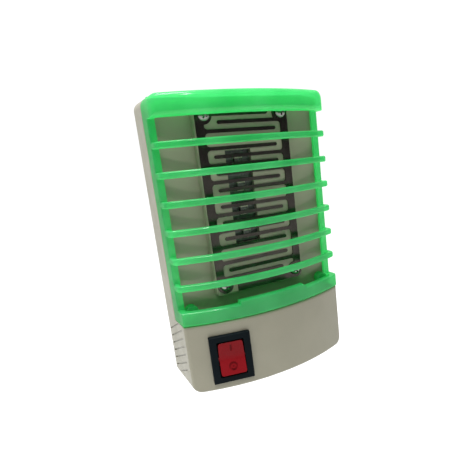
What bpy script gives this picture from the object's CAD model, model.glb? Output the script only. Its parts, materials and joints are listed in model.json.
import json
import math

import bmesh
import bpy
from mathutils import Matrix, Vector


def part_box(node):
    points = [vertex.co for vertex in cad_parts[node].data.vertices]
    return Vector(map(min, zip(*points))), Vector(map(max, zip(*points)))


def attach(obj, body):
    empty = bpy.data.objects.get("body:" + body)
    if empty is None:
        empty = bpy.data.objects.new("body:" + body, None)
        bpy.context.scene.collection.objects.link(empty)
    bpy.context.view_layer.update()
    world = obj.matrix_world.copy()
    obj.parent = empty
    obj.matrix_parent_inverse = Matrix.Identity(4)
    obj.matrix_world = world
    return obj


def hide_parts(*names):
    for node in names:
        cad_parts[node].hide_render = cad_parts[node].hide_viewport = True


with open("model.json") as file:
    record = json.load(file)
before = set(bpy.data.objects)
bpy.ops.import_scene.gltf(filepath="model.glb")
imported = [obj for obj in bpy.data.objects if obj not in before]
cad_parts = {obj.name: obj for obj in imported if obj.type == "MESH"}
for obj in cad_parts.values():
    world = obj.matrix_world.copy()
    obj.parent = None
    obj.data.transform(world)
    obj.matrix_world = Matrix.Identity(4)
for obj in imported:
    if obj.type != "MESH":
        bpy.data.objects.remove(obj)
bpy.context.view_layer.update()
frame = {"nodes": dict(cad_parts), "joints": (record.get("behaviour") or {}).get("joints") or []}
nodes = frame["nodes"]
scene = bpy.context.scene


# Small helpers. Shapes are worked out in millimetres and scaled once, when the piece is finished.

def newObject(name, mesh):
    obj = bpy.data.objects.new(name, mesh)
    scene.collection.objects.link(obj)
    return obj


def fromBmesh(name, bm):
    bmesh.ops.recalc_face_normals(bm, faces=bm.faces)
    mesh = bpy.data.meshes.new(name)
    bm.to_mesh(mesh)
    bm.free()
    return newObject(name, mesh)


def evaluated(obj):
    bpy.context.view_layer.update()
    graph = bpy.context.evaluated_depsgraph_get()
    return bpy.data.meshes.new_from_object(obj.evaluated_get(graph))


def drop(obj):
    bpy.data.objects.remove(obj, do_unlink=True)


def combine(obj, others, operation):
    # joins, cuts or intersects with each of the others, which are used up
    for other in others:
        tool = obj.modifiers.new("combine", "BOOLEAN")
        tool.operation = operation
        tool.solver = "EXACT"
        tool.object = other
    mesh = evaluated(obj)
    obj.modifiers.clear()
    obj.data = mesh
    for other in others:
        drop(other)
    return obj


def place(obj, matrix):
    obj.data.transform(matrix)
    return obj


cleanSettings = {"weld": 0.002, "flat": 1.0, "sharp": 40}


def clean(bm):
    # welds doubled points and merges the flat faces that a cut leaves
    bmesh.ops.remove_doubles(bm, verts=bm.verts, dist=cleanSettings["weld"])
    flatAngle = math.radians(cleanSettings["flat"])
    bmesh.ops.dissolve_limit(bm, angle_limit=flatAngle, verts=bm.verts, edges=bm.edges)


def extruded(name, outline, axis, end):
    # a flat outline drawn out along one axis, to the place where it ends
    bm = bmesh.new()
    face = bm.faces.new([bm.verts.new(point) for point in outline])
    for v in bmesh.ops.extrude_face_region(bm, geom=[face])["geom"]:
        if isinstance(v, bmesh.types.BMVert):
            v.co[axis] = end
    return fromBmesh(name, bm)


def finish(obj, material, body, replaced, smooth=32, bevel=0.0):
    # edges, shading, scale to metres, material and the body it rides on
    if bevel:
        bm = bmesh.new()
        bm.from_mesh(obj.data)
        clean(bm)
        bm.to_mesh(obj.data)
        bm.free()
        edge = obj.modifiers.new("edge", "BEVEL")
        edge.width = bevel
        edge.segments = 2
        edge.limit_method = "ANGLE"
        edge.angle_limit = math.radians(cleanSettings["sharp"])
        edge.use_clamp_overlap = True
        mesh = evaluated(obj)
        obj.modifiers.clear()
        obj.data = mesh
    obj.data.transform(Matrix.Scale(0.001, 4))
    obj.data.materials.clear()
    obj.data.materials.append(material)
    for face in obj.data.polygons:
        face.use_smooth = True
        face.material_index = 0
    obj.data.set_sharp_from_angle(angle=math.radians(smooth))
    normals = obj.modifiers.new("even shading", "WEIGHTED_NORMAL")
    normals.keep_sharp = True
    obj.name = obj.name.replace(" ", "_")
    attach(obj, body)
    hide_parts(*replaced)
    return obj


# Geometry Nodes: a piece repeated along a line, and a section swept along a path and repeated.

def startTree(name, inputs):
    tree = bpy.data.node_groups.new(name, "GeometryNodeTree")
    face = tree.interface
    face.new_socket("Geometry", in_out="INPUT", socket_type="NodeSocketGeometry")
    for label, kind in inputs:
        face.new_socket(label, in_out="INPUT", socket_type="NodeSocket" + kind)
    face.new_socket("Geometry", in_out="OUTPUT", socket_type="NodeSocketGeometry")
    return tree, tree.nodes.new("NodeGroupInput"), tree.nodes.new("NodeGroupOutput")


def add(tree, kind, **settings):
    node = tree.nodes.new(kind)
    for key, value in settings.items():
        setattr(node, key, value)
    return node


def endTree(tree, geometry, source, out):
    realize = add(tree, "GeometryNodeRealizeInstances")
    paint = add(tree, "GeometryNodeSetMaterial")
    tree.links.new(geometry, realize.inputs[0])
    tree.links.new(realize.outputs[0], paint.inputs["Geometry"])
    tree.links.new(source.outputs["Finish"], paint.inputs["Material"])
    tree.links.new(paint.outputs[0], out.inputs[0])


def rowTree():
    inputs = [("Piece", "Object"), ("Count", "Int"), ("Step", "Vector"), ("Turn seed", "Int"),
              ("Most turn", "Vector"), ("Finish", "Material")]
    tree, source, out = startTree("pieces in a row", inputs)
    line = add(tree, "GeometryNodeMeshLine", mode="OFFSET")
    points = add(tree, "GeometryNodeMeshToPoints")
    piece = add(tree, "GeometryNodeObjectInfo", transform_space="ORIGINAL")
    turn = add(tree, "FunctionNodeRandomValue", data_type="FLOAT_VECTOR")
    copies = add(tree, "GeometryNodeInstanceOnPoints")
    link = tree.links.new
    link(source.outputs["Count"], line.inputs["Count"])
    link(source.outputs["Step"], line.inputs["Offset"])
    link(line.outputs[0], points.inputs[0])
    link(source.outputs["Piece"], piece.inputs["Object"])
    link(source.outputs["Turn seed"], turn.inputs["Seed"])
    link(source.outputs["Most turn"], turn.inputs[1])
    link(points.outputs[0], copies.inputs["Points"])
    link(piece.outputs["Geometry"], copies.inputs["Instance"])
    link(turn.outputs[0], copies.inputs["Rotation"])
    endTree(tree, copies.outputs[0], source, out)
    return tree


def barTree():
    inputs = [("Bar height", "Float"), ("Bar depth", "Float"), ("Edge round", "Float"),
              ("Count", "Int"), ("Pitch", "Float"), ("Finish", "Material")]
    tree, source, out = startTree("grille bars", inputs)
    path = add(tree, "GeometryNodeMeshToCurve")
    upright = add(tree, "GeometryNodeSetCurveNormal", mode="Z_UP")
    section = add(tree, "GeometryNodeCurvePrimitiveQuadrilateral")
    rounded = add(tree, "GeometryNodeFilletCurve", mode="POLY")
    sweep = add(tree, "GeometryNodeCurveToMesh")
    step = add(tree, "ShaderNodeCombineXYZ")
    line = add(tree, "GeometryNodeMeshLine", mode="OFFSET")
    points = add(tree, "GeometryNodeMeshToPoints")
    copies = add(tree, "GeometryNodeInstanceOnPoints")
    link = tree.links.new
    link(source.outputs["Geometry"], path.inputs[0])
    link(path.outputs[0], upright.inputs[0])
    link(source.outputs["Bar depth"], section.inputs["Width"])
    link(source.outputs["Bar height"], section.inputs["Height"])
    link(section.outputs[0], rounded.inputs["Curve"])
    rounded.inputs["Count"].default_value = 4
    link(source.outputs["Edge round"], rounded.inputs["Radius"])
    link(upright.outputs[0], sweep.inputs["Curve"])
    link(rounded.outputs[0], sweep.inputs["Profile Curve"])
    sweep.inputs["Fill Caps"].default_value = True
    link(source.outputs["Pitch"], step.inputs["Z"])
    link(source.outputs["Count"], line.inputs["Count"])
    link(step.outputs[0], line.inputs["Offset"])
    link(line.outputs[0], points.inputs[0])
    link(points.outputs[0], copies.inputs["Points"])
    link(sweep.outputs[0], copies.inputs["Instance"])
    endTree(tree, copies.outputs[0], source, out)
    return tree


def grow(obj, tree, values):
    # runs a tree on obj and keeps the result as a plain mesh
    tool = obj.modifiers.new(tree.name, "NODES")
    tool.node_group = tree
    for item in tree.interface.items_tree:
        if item.in_out == "INPUT" and item.name in values:
            tool[item.identifier] = values[item.name]
    mesh = evaluated(obj)
    obj.modifiers.remove(tool)
    obj.data = mesh
    return obj


pieceRow = rowTree()
grilleBars = barTree()


def row(name, piece, count, step, start, finishMaterial, seed=0, mostTurn=(0, 0, 0)):
    # count copies of a piece from start, a step apart; the single piece is used up
    obj = newObject(name, bpy.data.meshes.new(name))
    values = {"Piece": piece, "Count": count, "Step": step, "Turn seed": seed,
              "Most turn": mostTurn, "Finish": finishMaterial}
    grow(obj, pieceRow, values)
    drop(piece)
    return place(obj, Matrix.Translation(start))


# Materials

def material(name):
    mat = bpy.data.materials.new(name)
    mat.use_nodes = True
    tree = mat.node_tree
    shader = next(n for n in tree.nodes if n.type == "BSDF_PRINCIPLED")
    return mat, tree, shader


def noise(tree, scale, detail=3.0, rough=0.5, stretch=None):
    where = add(tree, "ShaderNodeTexCoord").outputs["Object"]
    if stretch:
        mapping = add(tree, "ShaderNodeMapping")
        mapping.inputs["Scale"].default_value = stretch
        tree.links.new(where, mapping.inputs["Vector"])
        where = mapping.outputs[0]
    tex = add(tree, "ShaderNodeTexNoise")
    tex.inputs["Scale"].default_value = scale
    tex.inputs["Detail"].default_value = detail
    tex.inputs["Roughness"].default_value = rough
    tree.links.new(where, tex.inputs["Vector"])
    return tex.outputs[0]


def ramp(tree, value, stops):
    node = add(tree, "ShaderNodeValToRGB")
    points = node.color_ramp.elements
    while len(points) < len(stops):
        points.new(0.5)
    for point, (at, colour) in zip(points, stops):
        point.position = at
        point.color = (*colour, 1)
    tree.links.new(value, node.inputs[0])
    return node.outputs[0]


def vary(tree, value, low, high, a=0.3, b=0.7):
    node = add(tree, "ShaderNodeMapRange")
    node.inputs["From Min"].default_value = a
    node.inputs["From Max"].default_value = b
    node.inputs["To Min"].default_value = low
    node.inputs["To Max"].default_value = high
    tree.links.new(value, node.inputs["Value"])
    return node.outputs[0]


def bump(tree, shader, value, strength, distance):
    node = add(tree, "ShaderNodeBump")
    node.inputs["Strength"].default_value = strength
    node.inputs["Distance"].default_value = distance
    tree.links.new(value, node.inputs["Height"])
    tree.links.new(node.outputs[0], shader.inputs["Normal"])


def twoTone(tree, shader, scale, darker, paler):
    # soft clouds of two near shades
    shade = ramp(tree, noise(tree, scale), [(0.35, darker), (0.65, paler)])
    tree.links.new(shade, shader.inputs["Base Color"])


def plastic(name, colour, darker, rough=(0.3, 0.42), cloud=60, grain=2600, grainDepth=0.00001, **extra):
    mat, tree, shader = material(name)
    twoTone(tree, shader, cloud, darker, colour)
    tree.links.new(vary(tree, noise(tree, cloud * 3), *rough), shader.inputs["Roughness"])
    bump(tree, shader, noise(tree, grain, 2.0), 0.35, grainDepth)
    for key, value in extra.items():
        shader.inputs[key].default_value = value
    return mat


def metal(name, colour, darker, rough=(0.18, 0.32), stretch=(1, 1, 14)):
    # stretch makes the grain finer along an axis, so the lines run across it
    mat, tree, shader = material(name)
    lines = noise(tree, 900, 4.0, 0.6, stretch)
    twoTone(tree, shader, 120, darker, colour)
    tree.links.new(vary(tree, lines, *rough), shader.inputs["Roughness"])
    bump(tree, shader, lines, 0.2, 0.000004)
    shader.inputs["Metallic"].default_value = 1.0
    return mat


greenSettings = {"deep": (0.035, 0.400, 0.145), "pale": (0.100, 0.580, 0.250), "through": (0.26, 0.95, 0.42),
                 "clear": 0.30, "glow": (0.24, 0.88, 0.42), "glowShare": 0.62, "specular": 0.25, "gloss": 0.018,
                 "glossRough": 0.11}


def greenPlastic():
    # tinted, half clear moulding: some light goes straight through, some spreads and comes out behind
    g = greenSettings
    mat, tree, shader = material("clear green plastic")
    twoTone(tree, shader, 90, g["deep"], g["pale"])
    tree.links.new(vary(tree, noise(tree, 500), 0.06, 0.16), shader.inputs["Roughness"])
    bump(tree, shader, noise(tree, 700, 3.0), 0.35, 0.00006)
    shader.inputs["IOR"].default_value = 1.5
    shader.inputs["Specular IOR Level"].default_value = g["specular"]
    glow = add(tree, "ShaderNodeBsdfTranslucent")
    glow.inputs["Color"].default_value = (*g["glow"], 1)
    through = add(tree, "ShaderNodeBsdfTransparent")
    through.inputs["Color"].default_value = (*g["through"], 1)
    inner = add(tree, "ShaderNodeMixShader")
    inner.inputs[0].default_value = g["glowShare"]
    outer = add(tree, "ShaderNodeMixShader")
    outer.inputs[0].default_value = g["clear"]
    tree.links.new(shader.outputs[0], inner.inputs[1])
    tree.links.new(glow.outputs[0], inner.inputs[2])
    tree.links.new(inner.outputs[0], outer.inputs[1])
    tree.links.new(through.outputs[0], outer.inputs[2])
    gloss = add(tree, "ShaderNodeBsdfGlossy")
    gloss.inputs["Color"].default_value = (g["gloss"], g["gloss"], g["gloss"], 1)
    gloss.inputs["Roughness"].default_value = g["glossRough"]
    both = add(tree, "ShaderNodeAddShader")
    tree.links.new(outer.outputs[0], both.inputs[0])
    tree.links.new(gloss.outputs[0], both.inputs[1])
    surface = next(n for n in tree.nodes if n.type == "OUTPUT_MATERIAL")
    tree.links.new(both.outputs[0], surface.inputs["Surface"])
    return mat


boardLook = {"Brick Width": 0.0052, "Row Height": 0.0021, "Mortar Size": 0.00032, "Scale": 1.0,
             "Color1": (0.046, 0.062, 0.048, 1), "Color2": (0.054, 0.072, 0.056, 1),
             "Mortar": (0.066, 0.090, 0.068, 1)}


def boardFinish():
    # dark grey-green lacquer over a faint grid of tracks
    mat, tree, shader = material("circuit board")
    where = add(tree, "ShaderNodeTexCoord").outputs["Object"]
    turn = add(tree, "ShaderNodeMapping")
    turn.inputs["Rotation"].default_value = (math.radians(90), 0, 0)
    tracks = add(tree, "ShaderNodeTexBrick")
    for key, value in boardLook.items():
        tracks.inputs[key].default_value = value
    tree.links.new(where, turn.inputs["Vector"])
    tree.links.new(turn.outputs[0], tracks.inputs["Vector"])
    tree.links.new(tracks.outputs["Color"], shader.inputs["Base Color"])
    tree.links.new(vary(tree, noise(tree, 300), 0.22, 0.36), shader.inputs["Roughness"])
    bump(tree, shader, tracks.outputs["Fac"], 0.3, 0.00003)
    return mat


lampLook = {"pitch": 0.0083, "half": 0.00175, "dark": (0.050, 0.062, 0.048), "pale": (0.30, 0.34, 0.22)}


def lampFinish():
    # dark tray with pale tinned ends; the ends are found from the height above the lowest lamp
    s = lampLook
    mat, tree, shader = material("lamp tray")
    low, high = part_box("led_4")
    axes = add(tree, "ShaderNodeSeparateXYZ")
    tree.links.new(add(tree, "ShaderNodeTexCoord").outputs["Object"], axes.inputs[0])
    above = add(tree, "ShaderNodeMath", operation="SUBTRACT")
    above.inputs[1].default_value = (low.z + high.z) / 2 - s["pitch"] / 2
    tree.links.new(axes.outputs["Z"], above.inputs[0])
    turn = add(tree, "ShaderNodeMath", operation="MODULO")
    turn.inputs[1].default_value = s["pitch"]
    tree.links.new(above.outputs[0], turn.inputs[0])
    edges = [0.5 + side * (s["half"] - inset) / s["pitch"] for side, inset in
             ((-1, -0.0005), (-1, 0.0007), (-1, 0.0009), (1, 0.0012), (1, 0.001), (1, -0.0005))]
    tones = [s["pale"], s["pale"], s["dark"], s["dark"], s["pale"], s["pale"]]
    scaled = vary(tree, turn.outputs[0], 0.0, 1.0, 0.0, s["pitch"])
    tree.links.new(ramp(tree, scaled, list(zip(edges, tones))), shader.inputs["Base Color"])
    tree.links.new(vary(tree, noise(tree, 900), 0.2, 0.35), shader.inputs["Roughness"])
    bump(tree, shader, noise(tree, 5000, 2.0), 0.35, 0.00001)
    return mat


whitePlastic = plastic("warm white plastic", (0.226, 0.216, 0.158), (0.205, 0.196, 0.142), rough=(0.34, 0.46),
                       grainDepth=0.000012)
pinWhite = plastic("pin sleeve plastic", (0.60, 0.58, 0.52), (0.54, 0.52, 0.47), grain=4000)
clearGreen = greenPlastic()
combSteel = metal("dark comb steel", (0.060, 0.054, 0.047), (0.040, 0.037, 0.032), rough=(0.16, 0.28),
                  stretch=(10, 1, 1))
screwSteel = metal("plated screw steel", (0.26, 0.27, 0.25), (0.16, 0.17, 0.15), rough=(0.10, 0.20),
                   stretch=(1, 1, 1))
boardGreen = boardFinish()
lampWhite = lampFinish()
capacitorRed = plastic("dipped capacitor", (0.35, 0.06, 0.03), (0.27, 0.04, 0.02), rough=(0.16, 0.26))
diodeBlack = plastic("moulded diode", (0.03, 0.03, 0.03), (0.02, 0.02, 0.02), rough=(0.3, 0.45))
resistorTan = plastic("lacquered resistor", (0.50, 0.34, 0.19), (0.42, 0.28, 0.15), rough=(0.25, 0.4))
pinMetal = metal("nickel plating", (0.66, 0.63, 0.56), (0.58, 0.55, 0.48), rough=(0.14, 0.26),
                 stretch=(1, 6, 1))
frameBlack = plastic("black switch frame", (0.003, 0.006, 0.008), (0.002, 0.004, 0.005), rough=(0.24, 0.34),
                     **{"Specular IOR Level": 0.04})
rockerRed = plastic("red rocker", (0.165, 0.006, 0.009), (0.140, 0.005, 0.007), rough=(0.16, 0.24),
                    grainDepth=0.000006, **{"Specular IOR Level": 0.07})
plungerWhite = plastic("plunger plastic", (0.66, 0.64, 0.56), (0.60, 0.58, 0.50))
brass = metal("stamped brass", (0.70, 0.48, 0.18), (0.58, 0.38, 0.14), stretch=(1, 8, 1))
leadBrown = plastic("brown lead", (0.16, 0.06, 0.03), (0.12, 0.045, 0.02), rough=(0.4, 0.5))
leadBlack = plastic("black lead", (0.02, 0.02, 0.02), (0.014, 0.014, 0.014), rough=(0.4, 0.5))
leadBlue = plastic("blue lead", (0.03, 0.09, 0.36), (0.02, 0.07, 0.28), rough=(0.4, 0.5))
leadWhite = plastic("white lead", (0.66, 0.65, 0.60), (0.60, 0.59, 0.54), rough=(0.4, 0.5))
print("materials made")

# Camera and light

cameraSettings = {"place": (-0.0642, -0.15809, 0.01668), "turn": (77.153, 5.382, -30.973),
                  "lens": 35.061, "shift": (-0.16019, 0.0628)}
camera = bpy.data.cameras.new("camera")
camera.sensor_width = 36
camera.lens = cameraSettings["lens"]
camera.shift_x, camera.shift_y = cameraSettings["shift"]
camera.clip_start = 0.005
cameraObject = newObject("camera", camera)
cameraObject.location = cameraSettings["place"]
cameraObject.rotation_euler = [math.radians(v) for v in cameraSettings["turn"]]
scene.camera = cameraObject

lightSettings = {"sky": 0.95, "behind": 1.05, "front": 0.12, "left": 0.12, "floor": -0.22,
                 # power, width and place of each lamp
                 "lamps": {"overhead lamp": (4.5, 0.30, (-0.14, -0.10, 0.60)),
                           "small lamp": (1.0, 0.035, (-0.125, -0.45, 0.42))}}


def studioLight():
    # a pale room that is brighter above and behind, a large soft lamp overhead and a small one in front
    world = bpy.data.worlds.new("pale room")
    scene.world = world
    world.use_nodes = True
    tree = world.node_tree
    tree.nodes.clear()
    out = add(tree, "ShaderNodeOutputWorld")
    background = add(tree, "ShaderNodeBackground")
    axes = add(tree, "ShaderNodeSeparateXYZ")
    tree.links.new(add(tree, "ShaderNodeTexCoord").outputs["Generated"], axes.inputs[0])

    def band(axis, start, end, low, high):
        node = add(tree, "ShaderNodeMapRange", interpolation_type="SMOOTHSTEP")
        for key, value in zip(("From Min", "From Max", "To Min", "To Max"), (start, end, low, high)):
            node.inputs[key].default_value = value
        tree.links.new(axes.outputs[axis], node.inputs["Value"])
        return node.outputs[0]

    def total(a, b):
        node = add(tree, "ShaderNodeMath", operation="ADD")
        tree.links.new(a, node.inputs[0])
        tree.links.new(b, node.inputs[1])
        return node.outputs[0]

    s = lightSettings
    depth = band("Y", -0.35, 0.25, s["front"], s["behind"])
    above = band("Z", 0.1, 0.9, 0.0, s["sky"] - s["front"])
    side = band("X", -0.9, -0.2, s["left"], 0.0)
    bright = total(total(depth, above), side)
    tree.links.new(bright, background.inputs["Strength"])
    background.inputs["Color"].default_value = (1, 1, 1, 1)
    tree.links.new(background.outputs[0], out.inputs[0])
    for name, (power, size, where) in s["lamps"].items():
        lamp = bpy.data.lights.new(name, "AREA")
        lamp.shape = "DISK"
        lamp.size = size
        lamp.energy = power
        lampObject = newObject(name, lamp)
        lampObject.location = where
        lampObject.rotation_euler = (-Vector(where)).to_track_quat("-Z", "Y").to_euler()


def paleFloor():
    bm = bmesh.new()
    bmesh.ops.create_grid(bm, x_segments=1, y_segments=1, size=6)
    floor = place(fromBmesh("floor", bm), Matrix.Translation((0, 0, lightSettings["floor"])))
    floor.data.materials.append(plastic("pale floor", (0.90, 0.90, 0.90), (0.88, 0.88, 0.88), rough=(0.7, 0.8),
                                        cloud=2, grain=40))


studioLight()
paleFloor()
scene.view_settings.view_transform = "Standard"
print("camera and light set")

# White case

caseLow, caseHigh = (v * 1000 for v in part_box("housing"))
caseShape = {"half": caseHigh.x, "foot": caseLow.z, "top": caseHigh.z, "sideDepth": 20.3,
             "bow": -caseLow.y - 20.3, "corner": 3.0, "wall": 1.8, "chin": 24.2, "shelf": 10.3, "collarIn": 2.1,
             "face": 14.6, "padHalf": 17.1, "padMiddle": 2.8, "padHeight": 63.5, "pad": 17.9,
             "windowX": (-7.85, 1.45), "windowZ": (-11.8, 19.8),
             "pegX": 26.4, "pegHole": 1.8, "sleeveLow": 2.7, "sleeveHigh": 2.0, "sleeveBack": -9.9,
             "combScrew": (13.9, 28.4), "combPost": 2.5, "combHole": 1.05,
             "rearScrew": (25.5, 7, 84), "rearPost": 3, "rearHole": 1.13,
             "switchSeat": (7.05, 8.5), "switchOpening": (6.25, 7.3),
             "grooves": 7, "grooveStep": 2.9, "grooveSlope": 23}
bowRadius = (caseShape["half"] ** 2 + caseShape["bow"] ** 2) / (2 * caseShape["bow"])
bowCentre = bowRadius - caseShape["sideDepth"] - caseShape["bow"]


def bowed(inset=0.0):
    return lambda x: math.sqrt((bowRadius - inset) ** 2 - x * x) - bowCentre


def flat(depth):
    return lambda x: depth


def block(name, half, low, high, depthAt, back=0.0, roundLow=0.0, roundHigh=0.0, edge=0.0, backEdge=0.0,
          across=48, left=None):
    # a block with a bowed or flat front: roundLow and roundHigh are its corners seen from the front, and edge
    # and backEdge round its front and back rims
    r = max(roundLow, roundHigh)
    middle = 0.0
    if left is not None:
        middle = (left + half) / 2
        half = (half - left) / 2

    def chains(inset):
        cols = []
        if r:
            for k in range(11):
                a = math.radians(90 * k / 10)
                cols.append((-(half - r) - (r - inset) * math.cos(a), r - (r - inset) * math.sin(a)))
            reach = half - r
        else:
            cols.append((-(half - inset), inset))
            reach = half - inset
        cols += [(-reach + 2 * reach * k / across, inset) for k in range(1, across)]
        cols += [(-x, fall) for x, fall in cols[:11 if r else 1][::-1]]
        return [(middle + x, low + (fall if roundLow else inset), high - (fall if roundHigh else inset))
                for x, fall in cols]

    steps = []
    if backEdge:
        steps += [(backEdge * (1 - math.sin(a)), None, backEdge * (1 - math.cos(a)))
                  for a in map(math.radians, (0, 30, 60, 90))]
    else:
        steps.append((0.0, None, 0.0))
    if edge:
        steps += [(edge * (1 - math.cos(a)), edge * (1 - math.sin(a)), None)
                  for a in map(math.radians, range(0, 91, 15))]
    else:
        steps.append((0.0, 0.0, None))
    bm = bmesh.new()
    rings = []
    for inset, behind, forward in steps:
        cols = chains(inset)
        depths = [-back - forward if forward is not None else -depthAt(x) + behind for x, z0, z1 in cols]
        lower = [bm.verts.new((x, y, z0)) for (x, z0, z1), y in zip(cols, depths)]
        upper = [bm.verts.new((x, y, z1)) for (x, z0, z1), y in zip(cols, depths)]
        rings.append((lower, upper))
    for a, b in zip(rings, rings[1:]):
        loopA, loopB = a[0] + a[1][::-1], b[0] + b[1][::-1]
        for i in range(len(loopA)):
            j = (i + 1) % len(loopA)
            bm.faces.new((loopA[i], loopA[j], loopB[j], loopB[i]))
    for lower, upper in (rings[0], rings[-1]):
        for i in range(len(lower) - 1):
            bm.faces.new((lower[i], lower[i + 1], upper[i + 1], upper[i]))
    return fromBmesh(name, bm)


def circle(bm, radius, y, x=0, z=0, sides=40):
    turns = [2 * math.pi * k / sides for k in range(sides)]
    return [bm.verts.new((x + radius * math.cos(a), y, z + radius * math.sin(a))) for a in turns]


def rod(name, radius, x, z, front, back, sides=40, tip=0.0):
    # a round post along Y, with its front end bevelled by tip
    bm = bmesh.new()
    levels = [(back, radius), (front + tip, radius), (front, radius - tip)]
    rings = [circle(bm, r, y, x, z, sides) for y, r in (levels if tip else levels[:2])]
    for a, b in zip(rings, rings[1:]):
        for k in range(sides):
            bm.faces.new((a[k], a[(k + 1) % sides], b[(k + 1) % sides], b[k]))
    bm.faces.new(rings[0])
    bm.faces.new(rings[-1])
    return fromBmesh(name, bm)


def box(name, low, high, rounding=0.0):
    bm = bmesh.new()
    bmesh.ops.create_cube(bm, size=1)
    low, high = Vector(low), Vector(high)
    for v in bm.verts:
        v.co = Vector(((low[i] + high[i]) / 2 + v.co[i] * (high[i] - low[i]) for i in range(3)))
    if rounding:
        bmesh.ops.bevel(bm, geom=bm.edges, offset=rounding, segments=3, profile=0.5, affect="EDGES")
    return fromBmesh(name, bm)


pegPlaces = [(x * caseShape["pegX"], z) for x in (-1, 1)
             for z in (caseShape["foot"] + 28.0, caseShape["top"] - 4.2)]
combScrewX, combScrewZ = caseShape["combScrew"]
combScrewPlaces = [(x * combScrewX, caseShape["padMiddle"] + z * combScrewZ) for x in (-1, 1) for z in (-1, 1)]
rearScrewX, rearScrewLow, rearScrewHigh = caseShape["rearScrew"]
rearScrewPlaces = [(x * rearScrewX, caseShape["foot"] + z) for x in (-1, 1)
                   for z in (rearScrewLow, rearScrewHigh)]

rockerJoint = next(j for j in frame["joints"] if j["name"] == "rocker_hinge")
rockerAxis = Vector(rockerJoint["axis"])
switchTurn = math.atan2(rockerAxis.y, rockerAxis.x)
pivot = Vector(rockerJoint["pos_m"]) * 1000
switchFrame = Matrix.Translation(pivot) @ Matrix.Rotation(switchTurn, 4, "Z")


def whiteCase():
    s = caseShape
    half, foot, top, wall = s["half"], s["foot"], s["top"], s["wall"]
    r = s["corner"]
    chinTop = foot + s["chin"]
    padLow, padHigh = s["padMiddle"] - s["padHeight"] / 2, s["padMiddle"] + s["padHeight"] / 2
    body = block("case", half, foot, chinTop, bowed(), roundLow=r, edge=0.9, backEdge=0.4)
    parts = [
        block("upper", half, foot + 8, top, flat(s["shelf"]), roundHigh=r, edge=0.25, backEdge=0.4, across=12),
        block("collar", half - s["collarIn"], foot + 12, top - s["collarIn"], flat(s["face"]), back=1,
              roundHigh=1, edge=0.3, across=12),
        block("pad", s["padHalf"], padLow, padHigh, flat(s["pad"]), back=2, roundLow=1, roundHigh=1,
              edge=0.35, across=12),
    ]
    combine(body, parts, "UNION")
    cuts = [
        block("chin room", half - wall, foot + wall, chinTop - wall, bowed(wall), back=-2, across=32),
        block("rear room", half - wall, foot + wall, top - wall, flat(s["shelf"] - wall), back=-2, roundLow=1.2,
              roundHigh=1.2, across=8),
        block("collar room", half - s["collarIn"] - wall, foot + 14, top - s["collarIn"] - wall,
              flat(s["face"] - wall), back=-2, across=8),
        box("pad room", (-15.3, -s["pad"] + wall, padLow + wall), (15.3, -5, padHigh - wall)),
        box("window", (s["windowX"][0], -30, s["windowZ"][0]), (s["windowX"][1], -10, s["windowZ"][1])),
    ]
    combine(body, cuts, "DIFFERENCE")
    collarBack, padBack = -s["face"] + 0.5, -s["pad"] + 0.5
    posts = [rod("post", s["combPost"], x, z, padBack, -10.6) for x, z in combScrewPlaces]
    for radius, places in ((s["sleeveLow"], pegPlaces[0::2]), (s["sleeveHigh"], pegPlaces[1::2])):
        posts += [rod("sleeve", radius, x, z, collarBack, s["sleeveBack"]) for x, z in places]
    for x, z in rearScrewPlaces:
        posts.append(rod("rear post", s["rearPost"], x, z, -9.5 if z < chinTop else collarBack, -2.25))
    for x, z in rearScrewPlaces:
        side = math.copysign(half - 1, x)
        posts.append(box("rib", (min(x, side), -9.4, z - 0.9), (max(x, side), -2.3, z + 0.9)))
    combine(body, posts, "UNION")
    holes = [rod("hole", s["pegHole"], x, z, -20, -9) for x, z in pegPlaces]
    holes += [rod("hole", s["combHole"], x, z, -30, -11.2, sides=24) for x, z in combScrewPlaces]
    holes += [rod("hole", s["rearHole"], x, z, -9, 1, sides=24) for x, z in rearScrewPlaces]
    for (x, z), deep in ((s["switchSeat"], 0.4), (s["switchOpening"], 6)):
        holes.append(place(box("switch room", (-x, -3, -z), (x, deep, z)), switchFrame))
    slope = Matrix.Rotation(math.radians(-s["grooveSlope"]), 4, "X")
    for side in (-1, 1):
        groove = place(box("groove", (-0.35, -16.5, -0.25), (0.35, 0, 0.25), rounding=0.12), slope)
        holes.append(row("grooves", groove, s["grooves"], (0, 0, s["grooveStep"]),
                         (side * half, -1.8, foot + 1.4), whitePlastic))
    combine(body, holes, "DIFFERENCE")
    return finish(body, whitePlastic, "case", ["housing"])


whiteCase()
print("case made")

# Green grille

grilleShape = {"wall": 1.8, "stile": 2.3, "front": 16.2, "back": 10.6, "edgeY": 14.9, "topRail": 7.0,
               "bottomRail": 4.7, "foot": caseShape["foot"] + 24.5, "bars": 6, "barHeight": 2.15,
               "barDepth": 2.1, "barRound": 0.55, "proud": 0.4, "turnIn": 1.3,
               "lip": 1.27, "lipFrom": -12.5, "lipTo": 13.8, "lipSlope": (12.4, 47), "peg": 1.5, "pegBoss": 2.1}


def barPath():
    # the middle line of a bar seen from above: out from one stile, along the bow and back to the other
    s = grilleShape
    inset = s["barDepth"] / 2
    half = caseShape["half"] - inset
    front = bowed(inset)
    turn = s["turnIn"]
    corner = front(half - turn)
    pts = [(-half, -s["front"] + 1)]
    pts += [(-half + turn - turn * math.cos(math.radians(a)), -corner + turn - turn * math.sin(math.radians(a)))
            for a in range(0, 90, 15)]
    steps = 44
    arc = [-(half - turn) + 2 * (half - turn) * k / steps for k in range(steps + 1)]
    pts += [(x, -front(x)) for x in arc]
    pts += [(-x, y) for x, y in pts[:7][::-1]]
    mesh = bpy.data.meshes.new("bar path")
    mesh.from_pydata([(x, y, 0) for x, y in pts], [(i, i + 1) for i in range(len(pts) - 1)], [])
    return newObject("grille bars", mesh)


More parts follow.
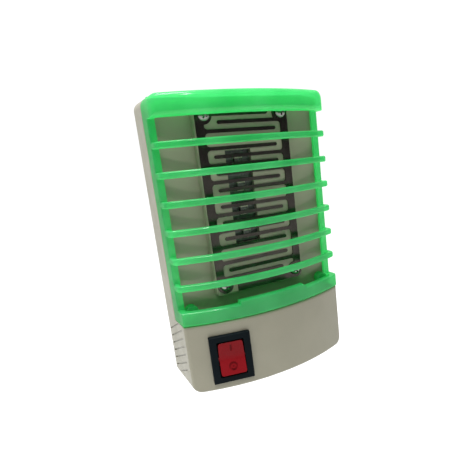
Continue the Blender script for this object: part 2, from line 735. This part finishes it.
def frontGrille():
    s, c = grilleShape, caseShape
    half, top, foot, r = c["half"], c["top"], s["foot"], c["corner"]
    body = block("front grille", half, foot, top, flat(s["front"]), back=s["back"], roundHigh=r, edge=0.5,
                 backEdge=0.25, across=12)
    inner = [
        block("inside", half - s["wall"], foot - 5, top - s["wall"], flat(s["edgeY"]), back=5,
              roundHigh=r - s["wall"], across=12),
        block("front opening", half - s["stile"], foot - 5, top - s["stile"], flat(s["front"] + 5), back=5,
              roundHigh=0.7, across=12),
    ]
    combine(body, inner, "DIFFERENCE")
    topLow, bottomHigh = top - s["topRail"], foot + s["bottomRail"]
    rails = [
        block("top rail", half, topLow, top, bowed(-s["proud"]), back=s["front"] - 1, roundHigh=r, edge=1.7),
        block("bottom rail", half, foot, bottomHigh, bowed(-s["proud"]), back=s["front"] - 1, edge=0.7),
    ]
    lip = block("finger lip", s["lipTo"], bottomHigh - 2, bottomHigh + s["lip"], bowed(-s["proud"] + 0.03),
                back=s["front"] - 1, edge=0.35, left=s["lipFrom"], across=24)
    slopeX, slopeAngle = s["lipSlope"]
    slope = (Matrix.Translation((slopeX, 0, bottomHigh + s["lip"]))
             @ Matrix.Rotation(math.radians(-slopeAngle), 4, "Y"))
    combine(lip, [place(box("slope", (0, -40, -5), (5, -10, 5)), slope)], "DIFFERENCE")
    combine(rails[1], [lip], "UNION")
    rooms = [
        block("rail room", half - s["barDepth"], topLow - 2, top - s["barDepth"], bowed(s["barDepth"]),
              back=5, roundHigh=0.9),
        block("rail room", half - s["barDepth"], foot - 2, bottomHigh + 2, bowed(s["barDepth"]), back=5),
    ]
    for rail, room in zip(rails, rooms):
        combine(rail, [room], "DIFFERENCE")
    bars = barPath()
    pitch = (topLow - bottomHigh + s["barHeight"]) / (s["bars"] + 1)
    grow(bars, grilleBars, {"Bar height": s["barHeight"], "Bar depth": s["barDepth"],
                            "Edge round": s["barRound"], "Count": s["bars"], "Pitch": -pitch,
                            "Finish": clearGreen})
    place(bars, Matrix.Translation((0, 0, topLow + s["barHeight"] / 2 - pitch)))
    extras = []
    for low, high in ((top - 3.1, top - 0.5), (foot + 0.02, foot + 1.8)):
        extras.append(box("edge", (-30, -s["front"] + 0.02, low), (30, -s["edgeY"] + 0.01, high)))
        for x in (-20, 0, 20):
            reach = bowed(1)(x)
            extras.append(box("rib", (x - 0.6, -reach, low + 0.03), (x + 0.6, -s["front"] + 1, high - 0.03)))
    for x, z in pegPlaces:
        side = math.copysign(30, x)
        extras.append(rod("boss", s["pegBoss"], x, z, -s["front"] - 1.6, -s["edgeY"] + 0.02, tip=0.3))
        extras.append(rod("peg", s["peg"], x, z, -s["front"], -10.62))
        extras.append(box("rib", (min(x, side), -s["front"] + 0.06, z - 0.8),
                          (max(x, side), -s["edgeY"] + 0.04, z + 0.8)))
    combine(body, rails + [bars] + extras, "UNION")
    return finish(body, clearGreen, "grille", ["front_grille"])


frontGrille()
print("grille made")

# Combs

combShape = {"half": 16.75, "high": 31.4, "spine": 2.75, "fingers": 10, "pitch": 5.5, "width": 1.15,
             "reach": 11.8, "shortReach": 9.4, "root": 1.1, "strip": 3.3, "stripEnd": 9.3,
             "tab": (-combScrewX, combScrewZ), "tabRound": 2.85, "tabHole": 1.15, "sheet": 0.5, "edge": 0.08}


def arcPoints(x, z, r, start, end, steps=8):
    turns = [math.radians(start + (end - start) * k / steps) for k in range(steps + 1)]
    return [(x + r * math.cos(a), z + r * math.sin(a)) for a in turns]


def combOutline():
    # spine, fingers with rounded roots and ends, and the top strip
    s = combShape
    inner = -s["half"] + s["spine"]
    w = s["width"] / 2
    first = (s["fingers"] - 1) * s["pitch"] / 2 - s["pitch"] / 4
    pts = [(-s["half"] + 1.5, s["high"]), (-s["half"], s["high"] - 1.6), (-s["half"], -s["tab"][1]),
           (inner, -s["tab"][1])]
    for k in reversed(range(s["fingers"])):
        z = first - k * s["pitch"]
        reach = s["shortReach"] if k == s["fingers"] - 1 else s["reach"]
        pts += arcPoints(inner + s["root"], z - w - s["root"], s["root"], 180, 90, 5)
        pts += arcPoints(reach - w, z, w, -90, 90, 8)
        pts += arcPoints(inner + s["root"], z + w + s["root"], s["root"], 270, 180, 5)
    low = s["high"] - s["strip"]
    pts += [(inner, low)] + arcPoints(s["stripEnd"] - 1, low + 1, 1, -90, 0, 5) + [(s["stripEnd"], s["high"])]
    return pts


def comb(name, turned, node):
    s = combShape
    obj = extruded(name, [(x, -s["sheet"], z) for x, z in combOutline()], 1, 0)
    x, end = s["tab"]
    combine(obj, [rod("tab", s["tabRound"], x, z, -s["sheet"], 0, sides=48) for z in (-end, end)], "UNION")
    combine(obj, [rod("hole", s["tabHole"], x, z, -2, 2, sides=28) for z in (-end, end)], "DIFFERENCE")
    combine(obj, [box("lug", (-14.9, -s["sheet"] / 2, -1), (-14.4, 4.95, 1), rounding=0.08)], "UNION")
    if turned:
        place(obj, Matrix.Rotation(math.pi, 4, "Y"))
    place(obj, Matrix.Translation((0, -caseShape["pad"], caseShape["padMiddle"])))
    return finish(obj, combSteel, "case", [node], bevel=s["edge"])


comb("left comb", False, "left_comb")
comb("right comb", True, "right_comb")
print("combs made")

# Screws

screwShape = {"head": 1.95, "height": 1.4, "shank": 1.0, "length": 6.0, "slot": 0.55, "slotReach": 1.15}
rearScrewShape = {"head": 2.1, "height": 1.15, "shank": 1.1, "length": 6.5, "slot": 0.55, "slotReach": 1.2,
                  "sink": 1.4}


def panScrew(name, s, sides=40):
    # turned profile with a crowned head, then a cross recess; it points along +Y from under its head
    h, r = s["height"], s["head"]
    profile = [(0, -h)]
    for k in range(1, 9):
        a = math.radians(90 * k / 8)
        crown = h * 0.7 * math.cos(a) ** 0.9 if k < 8 else 0
        profile.append((r * math.sin(a) ** 0.85, -h * 0.3 - crown))
    profile += [(r, -0.12), (r - 0.12, 0), (s["shank"], 0), (s["shank"], s["length"] - s["shank"]),
                (s["shank"] * 0.3, s["length"]), (0, s["length"])]
    bm = bmesh.new()
    rings = []
    for radius, y in profile:
        rings.append(circle(bm, radius, y, sides=sides) if radius else [bm.verts.new((0, y, 0))])
    for a, b in zip(rings, rings[1:]):
        for k in range(sides):
            m = (k + 1) % sides
            if len(a) == 1:
                bm.faces.new((a[0], b[k], b[m]))
            elif len(b) == 1:
                bm.faces.new((a[k], a[m], b[0]))
            else:
                bm.faces.new((a[k], a[m], b[m], b[k]))
    obj = fromBmesh(name, bm)
    reach, slot = s["slotReach"], s["slot"] / 2
    cuts = [box("slot", (-reach, -h - 1, -slot), (reach, -h * 0.35, slot)),
            box("slot", (-slot * 1.01, -h - 1, -reach), (slot * 1.01, -h * 0.36, reach)),
            place(box("slot", (-slot * 1.7, -h - 1, -slot * 1.7), (slot * 1.7, -h * 0.5, slot * 1.7)),
                  Matrix.Rotation(math.radians(45), 4, "Y"))]
    return combine(obj, cuts, "DIFFERENCE")


def joined(name, parts):
    # plain join, for pieces that don't touch
    bm = bmesh.new()
    for part in parts:
        bm.from_mesh(part.data)
        drop(part)
    return fromBmesh(name, bm)


def screwColumns(name, shape, flip, x, y, low, high, seeds):
    # two columns of two screws, each screw turned at random
    columns = []
    for column, seed in zip((-x, x), seeds):
        screw = place(panScrew("screw", shape), Matrix.Rotation(math.pi if flip else 0, 4, "X"))
        columns.append(row(name, screw, 2, (0, 0, high - low), (column, y, low), screwSteel, seed=seed,
                           mostTurn=(0, 1.5, 0)))
    return joined(name, columns)


def combScrews():
    middle = caseShape["padMiddle"]
    obj = screwColumns("comb screws", screwShape, False, combScrewX, -caseShape["pad"] - combShape["sheet"],
                       middle - combScrewZ, middle + combScrewZ, (3, 11))
    return finish(obj, screwSteel, "case", ["comb_screw_%d" % k for k in range(1, 5)], smooth=40)


def rearScrews():
    foot = caseShape["foot"]
    obj = screwColumns("rear screws", rearScrewShape, True, rearScrewX, -rearScrewShape["sink"],
                       foot + rearScrewLow, foot + rearScrewHigh, (5, 8))
    return finish(obj, screwSteel, "case", ["rear_screws"], smooth=40)


combScrews()
rearScrews()
print("screws made")

# Lamps

lampShape = {"wide": 2.8, "high": 3.5, "deep": 1.7, "pool": 1.15, "pitch": 8.3}


def lamps():
    s = lampShape
    low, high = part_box("led_4")
    middle = (low + high) * 500
    front = low.y * 1000
    tray = box("lamp", (-s["wide"] / 2, 0, -s["high"] / 2), (s["wide"] / 2, s["deep"], s["high"] / 2),
               rounding=0.12)
    combine(tray, [rod("pool", s["pool"], 0, 0, -1, 0.35, sides=32)], "DIFFERENCE")
    legs = [box("leg", (-1.1, s["deep"] - 0.5, z - 0.3), (1.1, s["deep"] - 0.01, z + 0.3), rounding=0.06)
            for z in (-s["high"] / 2, s["high"] / 2)]
    combine(tray, legs, "UNION")
    obj = row("lamps", tray, 4, (0, 0, s["pitch"]), (middle.x, front, middle.z), lampWhite)
    return finish(obj, lampWhite, "case", ["led_%d" % k for k in range(1, 5)])


lamps()
print("lamps made")

# Rocker switch

switchShape = {"frameW": 13.9, "frameH": 16.8, "frameOut": 1.5, "seat": 0.4, "bodyW": 12.2, "bodyH": 14.3,
               "deep": 12.7, "openW": 9.2, "openH": 12.8, "pocket": 11.2, "rockerW": 8.6, "rockerH": 11.0,
               "corner": 0.75, "rise": 1.5, "tilt": 11, "taper": 0.05, "edge": 0.25, "axle": 0.8,
               "mark": 0.45, "ring": (1.45, 0.8), "ringAt": 2.8, "strokeAt": 3.5}


def switchBody():
    s = switchShape
    frameBlock = box("switch body", (-s["frameW"] / 2, -s["frameOut"], -s["frameH"] / 2),
                     (s["frameW"] / 2, s["seat"], s["frameH"] / 2), rounding=0.3)
    barrel = box("barrel", (-s["bodyW"] / 2, s["seat"] - 0.2, -s["bodyH"] / 2),
                 (s["bodyW"] / 2, s["deep"], s["bodyH"] / 2), rounding=0.2)
    latches = [box("latch", (-2.5, 2.6, z - 0.4), (2.5, 5, z + 0.4), rounding=0.1)
               for z in (-s["bodyH"] / 2, s["bodyH"] / 2)]
    combine(frameBlock, [barrel] + latches, "UNION")
    w, h = s["openW"] / 2, s["openH"] / 2
    crosswise = Matrix.Rotation(math.radians(90), 4, "Z")
    cuts = [box("opening", (-w, -5, -h), (w, s["pocket"], h)),
            place(rod("pivot hole", s["axle"] + 0.08, 0, 0, -5.7, 5.7, sides=32), crosswise)]
    cuts += [box("slot", (-2.05, s["pocket"] - 1, z - 0.45), (2.05, s["deep"] + 2, z + 0.45))
             for z in (0, -4.8)]
    combine(frameBlock, cuts, "DIFFERENCE")
    place(frameBlock, switchFrame)
    return finish(frameBlock, frameBlack, "case", ["switch_body"])


def rocker():
    s = switchShape
    rise = math.tan(math.radians(s["tilt"]))
    half = [(s["rise"], 0), (s["rise"] + rise * 6, 6), (-0.5, 6), (-0.9, 5.2), (-1.7, 2.5)]
    outline = half + [(a, -b) for a, b in half[:0:-1]]
    obj = extruded("switch rocker", [(-s["rockerW"] / 2, -a, b) for a, b in outline], 0, s["rockerW"] / 2)
    corners = block("corners", s["rockerW"] / 2 - 0.01, -s["rockerH"] / 2, s["rockerH"] / 2, flat(4), back=-4,
                    roundLow=s["corner"], roundHigh=s["corner"], across=4)
    combine(obj, [corners], "INTERSECT")
    bm = bmesh.new()
    bm.from_mesh(obj.data)
    clean(bm)
    for z in (-4.2, -2.8, -1.4, 1.4, 2.8, 4.2):
        bmesh.ops.bisect_plane(bm, geom=bm.verts[:] + bm.edges[:] + bm.faces[:], plane_co=(0, 0, z),
                               plane_no=(0, 0, 1))
    for v in bm.verts:  # a little narrower towards the upper end
        if v.co.z >= 0:
            v.co.x *= 1 - s["taper"] * (v.co.z / s["rockerH"] * 2) ** 2
    sharpAngle = math.radians(cleanSettings["sharp"])
    sharp = [e for e in bm.edges if len(e.link_faces) == 2 and e.calc_face_angle() > sharpAngle]
    bmesh.ops.bevel(bm, geom=sharp, offset=s["edge"], segments=3, profile=0.5, affect="EDGES",
                    clamp_overlap=True)
    bm.to_mesh(obj.data)
    bm.free()

    def onPad(side, z, tool):  # side is 1 on the upper slope of the rocker and -1 on the lower one
        return place(tool, Matrix.Translation((0, -s["rise"] - rise * z, side * z))
                     @ Matrix.Rotation(math.radians(side * s["tilt"]), 4, "X"))

    outer, inner = s["ring"]
    ring = combine(rod("ring", outer, 0, 0, -2, s["mark"], sides=48), [rod("middle", inner, 0, 0, -3, 3)],
                   "DIFFERENCE")
    dent = onPad(-1, s["ringAt"], rod("dent", 0.3, 0, 0, -2, 0.2, sides=24))
    stroke = box("stroke", (-0.3, -2, -1.1), (0.3, s["mark"], 1.1), rounding=0.1)
    cuts = [onPad(-1, s["ringAt"], ring), onPad(1, s["strokeAt"], stroke), dent,
            rod("plunger hole", 1.15, 0, 0, 1, 4, sides=28)]
    combine(obj, cuts, "DIFFERENCE")
    axle = place(rod("axle", s["axle"], 0, 0, -5.5, 5.5, sides=32), Matrix.Rotation(math.radians(90), 4, "Z"))
    combine(obj, [axle], "UNION")
    place(obj, Matrix.Translation(pivot) @ Matrix.Rotation(switchTurn, 4, "Z")
          @ Matrix.Rotation(math.radians(-s["tilt"]), 4, "X"))
    return finish(obj, rockerRed, "rocker", ["switch_rocker"])


switchBody()
rocker()
print("switch made")

# Back cover, plug and the parts inside

coverShape = {"gap": 0.1, "thick": 2.2, "bossRound": 4.3, "bossDeep": 7.0, "pins": 9.5, "pinHole": 2.6,
              "screwHole": 1.3, "screwSink": 2.4, "slots": 5, "slotStep": 3.6, "slotFoot": 22.8}


def backCover():
    s, c = coverShape, caseShape
    inset = c["wall"] + s["gap"]
    obj = block("rear cover", c["half"] - inset, c["foot"] + inset, c["top"] - inset, flat(s["thick"]),
                roundLow=1.1, roundHigh=1.1, edge=0.2, backEdge=0.3, across=12)
    pins = (-s["pins"], s["pins"])
    combine(obj, [rod("boss", s["bossRound"], x, 0, -s["bossDeep"], -1, tip=0.3) for x in pins], "UNION")
    cuts = [rod("pin hole", s["pinHole"], x, 0, -9, 2) for x in pins]
    for x, z in rearScrewPlaces:
        cuts += [rod("screw hole", s["screwHole"], x, z, -4, 2, sides=24),
                 rod("screw sink", s["screwSink"], x, z, -rearScrewShape["sink"], 2)]
    vent = box("vent", (-9, -4, 0), (9, 2, 1.6), rounding=0.3)
    cuts.append(row("vents", vent, s["slots"], (0, 0, s["slotStep"]), (0, 0, c["foot"] + s["slotFoot"]),
                    whitePlastic))
    combine(obj, cuts, "DIFFERENCE")
    return finish(obj, whitePlastic, "case", ["rear_cover"])


backCover()

finishes = {
    "circuit_board": boardGreen, "board_screws": screwSteel, "left_pin": pinMetal, "right_pin": pinMetal,
    "left_pin_sleeve": pinWhite, "right_pin_sleeve": pinWhite, "switch_plunger": plungerWhite,
    "switch_contact": brass, "common_terminal": brass, "switched_terminal": brass,
    "live_lead": leadBrown, "switched_lead": leadBlack, "neutral_lead": leadBlue,
    "left_comb_lead": leadWhite, "right_comb_lead": leadWhite,
}
for kind, count, look in (("capacitor", 4, capacitorRed), ("diode", 4, diodeBlack), ("resistor", 3, resistorTan)):
    for k in range(1, count + 1):
        finishes["%s_%d" % (kind, k)] = look
for name, look in finishes.items():
    kept = nodes[name]
    if kept.data.materials:
        for materialSlot in kept.material_slots:
            materialSlot.material = look
    else:
        kept.data.materials.append(look)
print("back, plug and inner parts made")
